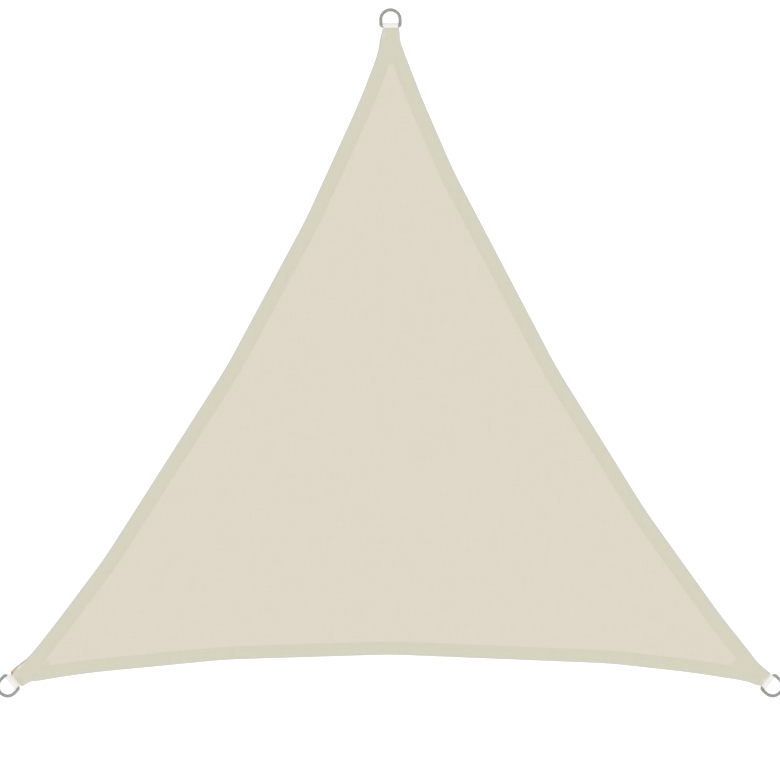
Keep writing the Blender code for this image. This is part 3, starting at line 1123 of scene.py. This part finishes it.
    def _body(self, points: np.ndarray) -> tuple[np.ndarray, np.ndarray, EdgeReading]:
        """Gives the cloth's body at some points.

        Args:
            points: Plan positions, one a row.

        Returns:
            How thick its layers lie, how far its underside is lifted, and the points' edge reading.
        """
        reading = self.plan.read(points)
        into_panel = self.plan.into_panel(points, reading)
        turned_in = smooth_step(into_panel, self.hem_step / 2, -self.hem_step / 2)
        thick = self.panel + (self.hem - self.panel) * turned_in + (self.neck - self.hem) * self._in_neck(points)
        lift = self._puckers(points, reading) + self._swells(points, reading) + self._creases(points, into_panel)
        return thick, lift, reading

    def _in_neck(self, points: np.ndarray) -> np.ndarray:
        """How fully points lie in a neck, where the cloth is thick round the webbing's ends.

        Args:
            points: Plan positions, one a row.

        Returns:
            One share a point.
        """
        half = self.webbing_half_width + self.webbing_side_clearance
        in_neck = np.zeros(len(points))
        for corner in self.plan.corners:
            near = smooth_step(corner.depth(points), self.neck_slope_depth, self.neck_flat_depth)
            across = smooth_step(np.abs(corner.offset(points)), half + self.neck_side_slope, half)
            in_neck = np.maximum(in_neck, near * across)
        return in_neck

    def _puckers(self, points: np.ndarray, reading: EdgeReading) -> np.ndarray:
        """How high the seams draw the cloth up, on each hem and just inside it.

        Args:
            points: Plan positions, one a row.
            reading: The same points' edge reading.

        Returns:
            One height a point.
        """
        wave = sum(
            np.sin(2 * math.pi * reading.run / length + phase + self.edge_phase * reading.edge)
            for length, phase in self.pucker_waves
        )
        bands = sum(share * bump_of(reading.distance, middle, width) for share, middle, width in self.pucker_bands)
        clear_of_necks = smooth_step(self.plan.corner_depth(points), *self.pucker_range)
        share = np.clip(wave / len(self.pucker_waves) + self.pucker_bias, 0, 1)
        return self.pucker * clear_of_necks * bands * share

    def _swells(self, points: np.ndarray, reading: EdgeReading) -> np.ndarray:
        """How high the panel's broad and low swells stand.

        Args:
            points: Plan positions, one a row.
            reading: The same points' edge reading.

        Returns:
            One height a point.
        """
        x, y = points[:, 0], points[:, 1]
        wave = sum(np.sin(along_x * x + along_y * y + phase) for along_x, along_y, phase in self.swell_waves)
        share = np.clip(wave / len(self.swell_waves) + self.swell_bias, 0, 1)
        return self.swell * smooth_step(reading.distance, *self.swell_range) * share

    def _creases(self, points: np.ndarray, into_panel: np.ndarray) -> np.ndarray:
        """How high the creases that fan out from the necks stand.

        Args:
            points: Plan positions, one a row.
            into_panel: How far each of them lies inside the panel's single layer.

        Returns:
            One height a point.
        """
        creases = np.zeros(len(points))
        for number, corner in enumerate(self.plan.corners):
            depth = corner.depth(points)
            slant = corner.offset(points) / np.maximum(depth, self.crease_rise[0])
            fades = smooth_step(depth, *self.crease_rise) * smooth_step(depth, *self.crease_fall)
            for middle, shift, width in self.crease_fans:
                creases += fades * bump_of(slant, middle + shift * number, width)
        return self.crease * creases * smooth_step(into_panel, *self.crease_margin)

    def _rounded(self, thick: np.ndarray, distance: np.ndarray) -> np.ndarray:
        """How much of its thickness the cloth has near its rounded fold."""
        share = np.clip((distance + self.fold_sink * thick) / (thick / 2), 0, 1)
        return np.sqrt(1 - (1 - share) ** 2)

    def upper_height(self, points: np.ndarray) -> np.ndarray:
        """The height of the cloth's upper face.

        Args:
            points: Plan positions, one a row.

        Returns:
            One height a point.
        """
        thick, lift, reading = self._body(points)
        depth = self.plan.corner_depth(points)
        near_end = 1 - np.clip(depth / self.end_rounding, 0, 1)
        end_round = self.end_rounding * (1 - np.sqrt(1 - near_end**2))
        dent = self._seam_dent(points, reading)
        return lift + thick / 2 * (1 + self._rounded(thick, reading.distance)) - dent - end_round

    def lower_height(self, points: np.ndarray) -> np.ndarray:
        """The height of the cloth's underside at each of some plan points."""
        thick, lift, reading = self._body(points)
        return lift + thick / 2 * (1 - self._rounded(thick, reading.distance)) + self._seam_dent(points, reading)

    def _seam_dent(self, points: np.ndarray, reading: EdgeReading) -> np.ndarray:
        """How deep the two rows of stitches pull a hem's faces in."""
        dent = sum(bump_of(reading.past_hem, row, self.seam_width) for row in self.stitch_rows)
        return dent * smooth_step(self.plan.corner_depth(points), *self.seam_range) * self.stitch_dent

    def _grade(self, cloth: Object) -> None:
        """Writes how many layers, how much painted shade on the rolled rim and what stain each point of the cloth
        has.

        Args:
            cloth: The cloth's object.
        """
        places = positions(cloth.data)[:, :2]
        reading = self.plan.read(places)
        into_panel = self.plan.into_panel(places, reading)
        shares = {
            "hem_share": smooth_step(into_panel, *self.hem_shade),
            "neck_share": smooth_step(self.plan.corner_depth(places), *self.neck_shade),
            # Painted shade: the cloth is drawn darker near its rounded outer fold.
            "rim_painted_shade": self.rim_shade_strength * smooth_step(reading.distance, *self.rim_shade),
            **{stain.value: np.zeros(len(places)) for stain in Stain},
        }
        for mark in MARKS:
            shares[mark.stain.value] += mark.on(places, reading.distance)
        for name, share in shares.items():
            attribute = cloth.data.attributes.new(name, "FLOAT", "POINT")
            attribute.data.foreach_set("value", share.astype(np.float32))


@dataclass
class Stitching:
    """Lockstitch seams, each stitch a short rounded dash of thread that is sunk into the cloth."""

    cloth: SailCloth
    pitch: float = 3.6 * MM
    dash: float = 2.9 * MM
    thread: float = 0.5 * MM
    proud: float = 0.06 * MM
    run_margin: float = 30 * MM
    neck_clearance: float = 64 * MM
    row_tolerance: float = 0.1 * MM
    heading_reach: float = 1 * MM
    box_half_width: float = 14 * MM
    box_near: float = 5 * MM
    box_far: float = 35 * MM

    def hems(self, material: Material) -> list[Object]:
        """Sews the two rows along each hem, which show on both faces.

        Args:
            material: The thread's finish.

        Returns:
            The stitches on the upper face, and those below.
        """
        parts, headings = [], []
        plan = self.cloth.plan
        for number, edge in enumerate(plan.edges):
            for row in self.cloth.stitch_rows:
                runs = np.arange(self.run_margin, plan.runs[number][-1] - self.run_margin, self.pitch)
                found = plan.at(number, runs, edge.hem_width + row)
                following = plan.at(number, runs + self.heading_reach, edge.hem_width + row)
                kept = plan.read(found).past_hem > row - self.row_tolerance
                kept &= plan.corner_depth(found) > self.neck_clearance
                parts.append(found[kept])
                ahead = (following - found)[kept]
                headings.append(np.arctan2(ahead[:, 1], ahead[:, 0]))
        places, heading = np.concatenate(parts), np.concatenate(headings)
        upper = self.cloth.upper_height(places) + self.proud
        lower = np.maximum(self.cloth.lower_height(places) - self.cloth.stitch_dent, 0) + self.thread / 2
        return [
            self._sew("hem_stitches", places, upper, heading, material),
            self._sew("hem_stitches_below", places, lower, heading, material),
        ]

    def necks(self, material: Material) -> Object:
        """Sews a crossed box through each neck and its webbing.

        Args:
            material: The thread's finish.

        Returns:
            The stitches of all three boxes.
        """
        half, near, far = self.box_half_width, self.box_near, self.box_far
        box = [(near, -half), (near, half), (far, half), (far, -half), (near, -half)]
        seams = [*zip(box, box[1:]), (box[0], box[2]), (box[1], box[3])]
        parts, headings = [], []
        for corner in self.cloth.plan.corners:
            for start, end in seams:
                ends = [
                    corner.middle() - corner.outwards() * depth + corner.leftwards() * side
                    for depth, side in (start, end)
                ]
                way = ends[1] - ends[0]
                count = int(np.linalg.norm(way) / self.pitch)
                shares = (np.arange(count) + 0.5) / count
                parts.append(ends[0] + shares[:, None] * way)
                headings.append(np.full(count, math.atan2(way[1], way[0])))
        places = np.concatenate(parts)
        heights = self.cloth.upper_height(places) + self.proud
        return self._sew("neck_stitches", places, heights, np.concatenate(headings), material)

    def _sew(
        self,
        name: str,
        places: np.ndarray,
        heights: np.ndarray,
        headings: np.ndarray,
        material: Material,
    ) -> Object:
        """Repeats one stitch along the seams.

        The thousands of copies are one mesh, so its arrays are made at once.

        Args:
            name: The piece's name.
            places: Each stitch's middle in plan, one a row.
            heights: The height of each stitch's middle.
            headings: Which way each stitch runs, in radians.
            material: The thread's finish.

        Returns:
            The joined stitches.
        """
        bm = bmesh.new()
        bmesh.ops.create_uvsphere(bm, u_segments=6, v_segments=4, radius=1)
        bmesh.ops.rotate(bm, verts=bm.verts, matrix=Matrix.Rotation(math.radians(90), 3, "Y"))
        bmesh.ops.scale(bm, verts=bm.verts, vec=(self.dash / 2, self.thread / 2, self.thread / 2))
        one = np.array([vert.co for vert in bm.verts])
        faces = [[vert.index for vert in face.verts] for face in bm.faces]
        bm.free()
        cos, sin = np.cos(headings)[:, None], np.sin(headings)[:, None]
        x = places[:, :1] + cos * one[:, 0] - sin * one[:, 1]
        y = places[:, 1:] + sin * one[:, 0] + cos * one[:, 1]
        z = heights[:, None] + one[:, 2]
        verts = np.stack([x, y, z], axis=2).reshape(-1, 3)
        joined = [[i + stitch * len(one) for i in face] for stitch in range(len(places)) for face in faces]
        mesh = bpy.data.meshes.new(name)
        mesh.from_pydata(verts, [], joined)
        return smooth_piece(mesh, material)


@dataclass
class WebbingLoop:
    """A strip of webbing folded round the ring's bar, with both ends in the neck.

    The wrap step and the selvedge's angle are in degrees. The tail shares are where a tail's line has
    points, and the columns are where the strip has lines of points across its width.
    """

    corner: Corner
    width: float = 41 * MM
    tail_width: float = 37 * MM
    thickness: float = 1.3 * MM
    tail: float = 40 * MM
    mouth: float = 1 * MM
    flare: float = 4 * MM
    floor: float = 1.2 * MM
    gap: float = 0.3 * MM
    wire_radius: float = 4 * MM
    fold_radius: float = 3.2 * MM
    wrap_step: float = 9
    floor_clearance: float = 0.1 * MM
    tail_shares: tuple[float, ...] = (0.03, 0.1, 0.5, 1)
    columns: tuple[float, ...] = (-0.5, -0.47, -0.25, 0, 0.25, 0.47, 0.5)
    column_tolerance: float = 1e-5
    selvedge: float = 0.45 * MM
    selvedge_angle: float = 60

    @property
    def wrap_radius(self) -> float:
        """How far the strip's middle lies from the bar's middle."""
        return self.wire_radius + self.gap + self.thickness / 2

    @property
    def bar_height(self) -> float:
        """The height of the bar's middle above the floor."""
        return self.wrap_radius + self.thickness / 2 + self.floor_clearance

    @staticmethod
    def _touching(middle: Vector, radius: float, next_middle: Vector, next_radius: float) -> Vector:
        """Finds the line that touches two circles on its left.

        Args:
            middle: The first circle's middle.
            radius: Its radius.
            next_middle: The second circle's middle.
            next_radius: Its radius.

        Returns:
            The unit vector from the circles' middles to that line.
        """
        ahead = next_middle - middle
        lean = (radius - next_radius) / ahead.length
        ahead.normalize()
        return ahead * lean + Vector((ahead.y, -ahead.x)) * math.sqrt(1 - lean * lean)

    def _line_round(self, circles: list[tuple[Vector, float]]) -> list[Vector]:
        """Runs a line from the first circle to the last one, with the others on its left.

        Args:
            circles: Each circle's middle and radius.

        Returns:
            The points of the line round the others.
        """
        outs = [self._touching(*here, *there) for here, there in zip(circles, circles[1:])]
        line = []
        for (middle, radius), enter, leave in zip(circles[1:-1], outs, outs[1:]):
            start = math.atan2(enter.y, enter.x)
            turn = (math.atan2(leave.y, leave.x) - start) % (2 * math.pi)
            steps = math.ceil(turn / math.radians(self.wrap_step))
            angles = (start + turn * i / steps for i in range(steps + 1))
            line += [middle + Vector((math.cos(angle), math.sin(angle))) * radius for angle in angles]
        return line

    def line(self) -> list[Vector]:
        """The strip's line, seen from its side: in, round the bar with some slack, and back.

        Returns:
            Its points, each as (outwards, up).
        """
        corner = self.corner
        swing = self.width / 2 * abs(math.sin(math.radians(corner.ring_turn)))
        near_bar = (Vector((corner.bar_reach - swing, self.bar_height)), self.wrap_radius)
        far_bar = (Vector((corner.bar_reach + swing, self.bar_height)), self.wrap_radius)
        fold_inset = self.fold_radius + self.thickness / 2
        fold_height = self.bar_height - self.wrap_radius + self.fold_radius
        fold = (Vector((corner.fold_reach - fold_inset, fold_height)), self.fold_radius)
        low = self.floor + self.gap + self.thickness / 2
        high = low + self.thickness + self.gap
        mouths = [Vector((self.mouth, low)), Vector((self.mouth, high))]
        over = [far_bar, near_bar] if swing else [near_bar]
        loop = self._line_round([(mouths[0], 0.0), near_bar, fold, *over, (mouths[1], 0.0)])
        tail = Vector((-self.tail - self.mouth, 0))
        return [
            *(mouths[0] + tail * share for share in reversed(self.tail_shares)),
            mouths[0],
            mouths[0].lerp(loop[0], 0.5),
            *loop,
            mouths[1].lerp(loop[-1], 0.5),
            mouths[1],
            *(mouths[1] + tail * share for share in self.tail_shares),
        ]

    def side_of(self, outwards: float, side: float) -> float:
        """Where a point of the strip lies across the neck, which gathers it. Side is -0.5 to 0.5."""
        share = min(max((outwards - self.mouth) / self.flare, 0.0), 1.0)
        return side * (self.tail_width + (self.width - self.tail_width) * share) + self.corner.ring_shift * share

    def length(self) -> float:
        """The strip's length before it is folded."""
        line = self.line()
        return sum((there - here).length for here, there in zip(line, line[1:]))

    def build(self, material: Material) -> Object:
        """Builds the loop.

        Args:
            material: The webbing's finish.

        Returns:
            The loop's object.
        """
        bm = bmesh.new()
        strip = bm.loops.layers.uv.new("strip")
        line = self.line()
        verts = [bm.verts.new((point.x, self.columns[0], point.y)) for point in line]
        edges = [bm.edges.new(pair) for pair in zip(verts, verts[1:])]
        for left, right in zip(self.columns, self.columns[1:]):
            grown = bmesh.ops.extrude_edge_only(bm, edges=edges)["geom"]
            edges = [edge for edge in of_kind(grown, BMEdge) if self._on_border(edge, left)]
            moved = of_kind(grown, BMVert)
            bmesh.ops.translate(bm, verts=moved, vec=(0, right - left, 0))
        bm.verts.index_update()
        runs = [0.0]
        for here, there in zip(line, line[1:]):
            runs.append(runs[-1] + (there - here).length)
        for face in bm.faces:
            for loop in face.loops:
                run = runs[loop.vert.index % len(line)]
                loop[strip].uv = (run / MM, loop.vert.co.y * self.width / MM)
        for vert in bm.verts:
            vert.co.y = self.side_of(vert.co.x, vert.co.y)
        bmesh.ops.recalc_face_normals(bm, faces=bm.faces)
        bmesh.ops.transform(bm, verts=bm.verts, matrix=self.corner.placed())
        webbing = add_piece("webbing_" + self.corner.name, bm, material)
        self._thicken(webbing)
        return webbing

    def _on_border(self, edge: BMEdge, column: float) -> bool:
        """Whether a new edge is the strip's border at a column, and not one that runs across the strip."""
        at_column = all(abs(vert.co.y - column) < self.column_tolerance for vert in edge.verts)
        return at_column and len(edge.link_faces) == 1

    def _thicken(self, webbing: Object) -> None:
        """Gives the strip its thickness and its soft selvedges.

        Args:
            webbing: The strip's object.
        """
        solid = webbing.modifiers.new("Thickness", "SOLIDIFY")
        solid.thickness = self.thickness
        solid.offset = 0
        solid.use_even_offset = True
        soft = webbing.modifiers.new("Selvedge", "BEVEL")
        soft.width = self.selvedge
        soft.segments = 2
        soft.limit_method = "ANGLE"
        soft.angle_limit = math.radians(self.selvedge_angle)


@dataclass
class DRing:
    """A D-ring of round steel wire, whose bar lies in the webbing and whose bow rests on the floor."""

    corner: Corner
    wire_radius: float = 4 * MM
    width: float = 59.5 * MM
    height: float = 51.5 * MM
    corner_radius: float = 4.6 * MM
    sides: int = 20
    bow_steps: int = 36
    corner_steps: int = 8
    merge: float = 0.01 * MM

    def build(self, bar_height: float, material: Material) -> Object:
        """Builds the ring.

        Args:
            bar_height: The height of the bar's middle above the floor.
            material: The wire's finish.

        Returns:
            The ring's object.
        """
        bow_radius = self.width / 2 - self.wire_radius
        leg = self.height - 2 * self.wire_radius - bow_radius - self.corner_radius
        foot = bow_radius - self.corner_radius
        bm = bmesh.new()
        facing = Matrix.Rotation(math.radians(90), 4, "X")
        start = bmesh.ops.create_circle(
            bm, segments=self.sides, radius=self.wire_radius, matrix=facing, cap_ends=False
        )["verts"]
        last = list({edge for vert in start for edge in vert.link_edges})
        elbow = Vector((self.corner_radius, 0, 0))
        last = self._straight(bm, last, Vector((0, -foot, 0)))
        last = self._turn(bm, last, Vector((0, -foot, 0)) + elbow, 90, self.corner_steps)
        last = self._straight(bm, last, Vector((leg, 0, 0)))
        last = self._turn(bm, last, Vector((self.corner_radius + leg, 0, 0)), 180, self.bow_steps)
        last = self._straight(bm, last, Vector((-leg, 0, 0)))
        last = self._turn(bm, last, Vector((0, foot, 0)) + elbow, 90, self.corner_steps)
        self._straight(bm, last, Vector((0, -foot, 0)))
        bmesh.ops.remove_doubles(bm, verts=bm.verts, dist=self.merge)
        bmesh.ops.recalc_face_normals(bm, faces=bm.faces)
        tilt = math.asin((bar_height - self.wire_radius) / (self.height - 2 * self.wire_radius))
        place = Matrix.Translation((self.corner.bar_reach, self.corner.ring_shift, bar_height))
        turn = Matrix.Rotation(math.radians(self.corner.ring_turn), 4, "Z")
        place = self.corner.placed() @ place @ turn @ Matrix.Rotation(tilt, 4, "Y")
        bmesh.ops.transform(bm, verts=bm.verts, matrix=place)
        return add_piece("ring_" + self.corner.name, bm, material)

    def _straight(self, bm: BMesh, rim: list[BMEdge], way: Vector) -> list[BMEdge]:
        """Lengthens the wire straight.

        Args:
            bm: The ring's shape.
            rim: The edges round the wire's end.
            way: How far and which way it grows.

        Returns:
            The edges round its new end.
        """
        grown = bmesh.ops.extrude_edge_only(bm, edges=rim)["geom"]
        verts = of_kind(grown, BMVert)
        bmesh.ops.translate(bm, verts=verts, vec=way)
        found = set(verts)
        return [edge for edge in of_kind(grown, BMEdge) if all(vert in found for vert in edge.verts)]

    def _turn(self, bm: BMesh, rim: list[BMEdge], centre: Vector, degrees: float, steps: int) -> list[BMEdge]:
        """Bends the wire.

        Args:
            bm: The ring's shape.
            rim: The edges round the wire's end.
            centre: What it bends round.
            degrees: How far it bends.
            steps: How many steps the bend has.

        Returns:
            The edges round its new end.
        """
        spun = bmesh.ops.spin(
            bm,
            geom=rim,
            cent=centre,
            axis=(0, 0, 1),
            angle=math.radians(degrees),
            steps=steps,
            use_merge=False,
        )["geom_last"]
        return of_kind(spun, BMEdge)


@dataclass
class Studio:
    """A white floor, an even soft light and a camera straight above the sail. The lamp's angles are in degrees."""

    camera_x: float = -3.4 * MM
    camera_y: float = 193.95 * MM
    camera_height: float = 4.904
    camera_reach: float = 100
    lens: float = 85
    sensor_width: float = 36
    floor_size: float = 60.0
    sky_strength: float = 0.893
    lamp_strength: float = 0.332
    lamp_spread: float = 70
    lamp_lean: Pair = (10, -8)

    def build(self) -> None:
        """Adds the floor, the lights and the camera."""
        bpy.context.scene.view_settings.view_transform = "Standard"
        self._lay_floor()
        self._light()
        self._place_camera()

    def _lay_floor(self) -> None:
        """Adds the floor."""
        bm = bmesh.new()
        bmesh.ops.create_grid(bm, x_segments=1, y_segments=1, size=self.floor_size / 2)
        floor = add_piece("floor", bm, WhiteBoard().material())

    def _light(self) -> None:
        """Adds an even sky and one broad lamp."""
        world = bpy.data.worlds.new("studio")
        world.use_nodes = True
        background = world.node_tree.nodes["Background"]
        background.inputs["Color"].default_value = WHITE
        background.inputs["Strength"].default_value = self.sky_strength
        bpy.context.scene.world = world
        light = bpy.data.lights.new("soft_box", "SUN")
        light.energy = self.lamp_strength
        light.angle = math.radians(self.lamp_spread)
        lamp = bpy.data.objects.new("soft_box", light)
        lamp.rotation_euler = (*(math.radians(angle) for angle in self.lamp_lean), 0)
        bpy.context.scene.collection.objects.link(lamp)

    def _place_camera(self) -> None:
        """Adds the camera, which looks straight down."""
        camera = bpy.data.cameras.new("camera")
        camera.lens = self.lens
        camera.sensor_width = self.sensor_width
        camera.clip_end = self.camera_reach
        holder = bpy.data.objects.new("camera", camera)
        holder.location = (self.camera_x, self.camera_y, self.camera_height)
        bpy.context.scene.collection.objects.link(holder)
        bpy.context.scene.camera = holder


def main() -> None:
    """Builds the sail, piece by piece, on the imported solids."""
    logging.basicConfig(level=logging.INFO, format="%(name)s: %(message)s", stream=sys.stdout)
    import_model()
    Studio().build()

    thread = SewingThread().material()
    webbing = PolyesterWebbing().material()
    steel = GalvanisedSteel().material()

    sail_cloth = SailCloth(SailPlan())
    sail = sail_cloth.build(WovenSailCloth().material())
    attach(sail, "root")
    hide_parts("sail_cloth")
    LOG.info("%s: %d faces", sail.name, len(sail.data.polygons))

    stitching = Stitching(sail_cloth)
    seams = [*stitching.hems(thread), stitching.necks(thread)]
    for seam in seams:
        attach(seam, "root")
        LOG.info("%s: %d faces", seam.name, len(seam.data.polygons))

    for corner in sail_cloth.plan.corners:
        loop = WebbingLoop(corner)
        strip = loop.build(webbing)
        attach(strip, "root")
        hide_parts("webbing_loop_" + corner.name)
        loop.length()
        ring = DRing(corner).build(loop.bar_height, steel)
        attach(ring, "root")
        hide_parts("d_ring_" + corner.name)
        LOG.info("%s: %.0f mm long", strip.name, loop.length() / MM)
        LOG.info("%s: %d faces", ring.name, len(ring.data.polygons))


if __name__ == "__main__":
    main()
